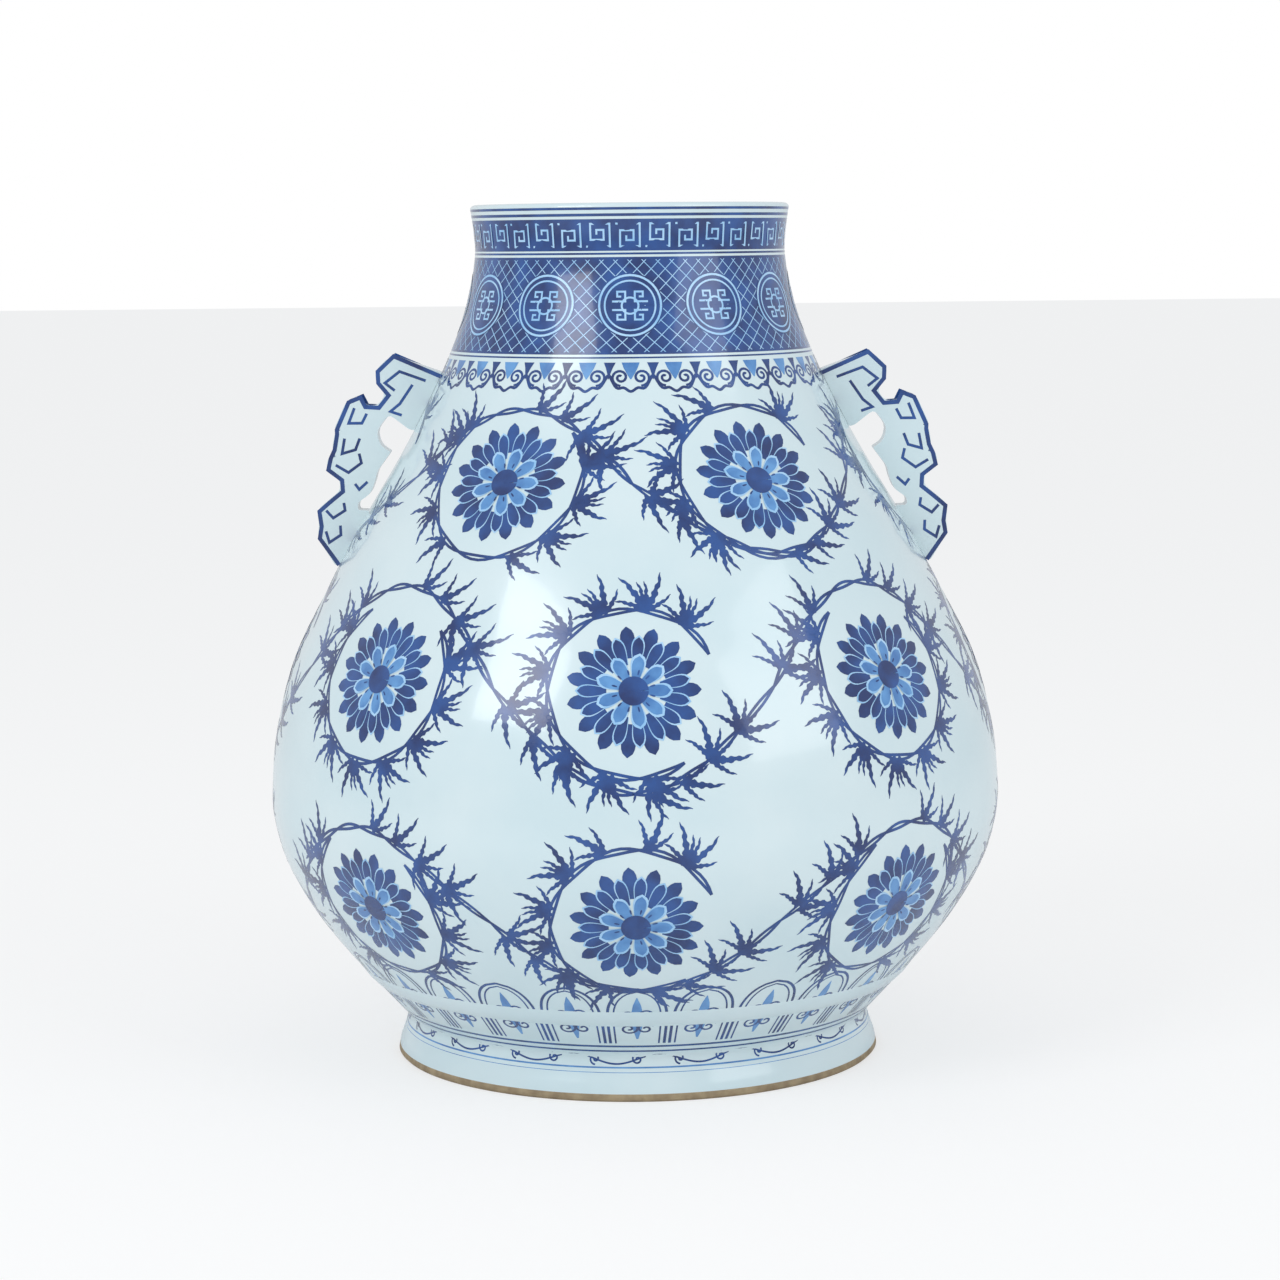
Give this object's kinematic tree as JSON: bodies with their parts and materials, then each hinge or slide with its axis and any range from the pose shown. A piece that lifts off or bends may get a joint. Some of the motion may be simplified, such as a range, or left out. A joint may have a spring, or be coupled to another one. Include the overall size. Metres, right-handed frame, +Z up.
{
  "type": "two-handled zun vase",
  "caption": "Blue-and-white porcelain vase with a waisted neck, full round body, flared foot ring and scroll handles on the shoulder.",
  "frame": {"origin": "centre of the foot ring's resting face, at the table", "axes": "+Z up along the axis the vase was thrown on, handles along +X and -X, the pictured side towards -Y"},
  "size_m": [0.3868, 0.3868, 0.45],
  "materials": {
    "white_glaze": "glossy",
    "cobalt_blue": "glossy"
  },
  "bodies": {
    "root": {"foot_ring": "white_glaze", "belly_section": "white_glaze", "shoulder_section": "white_glaze", "neck_section": "cobalt_blue", "left_handle": "white_glaze", "right_handle": "white_glaze"}
  },
  "joints": []
}
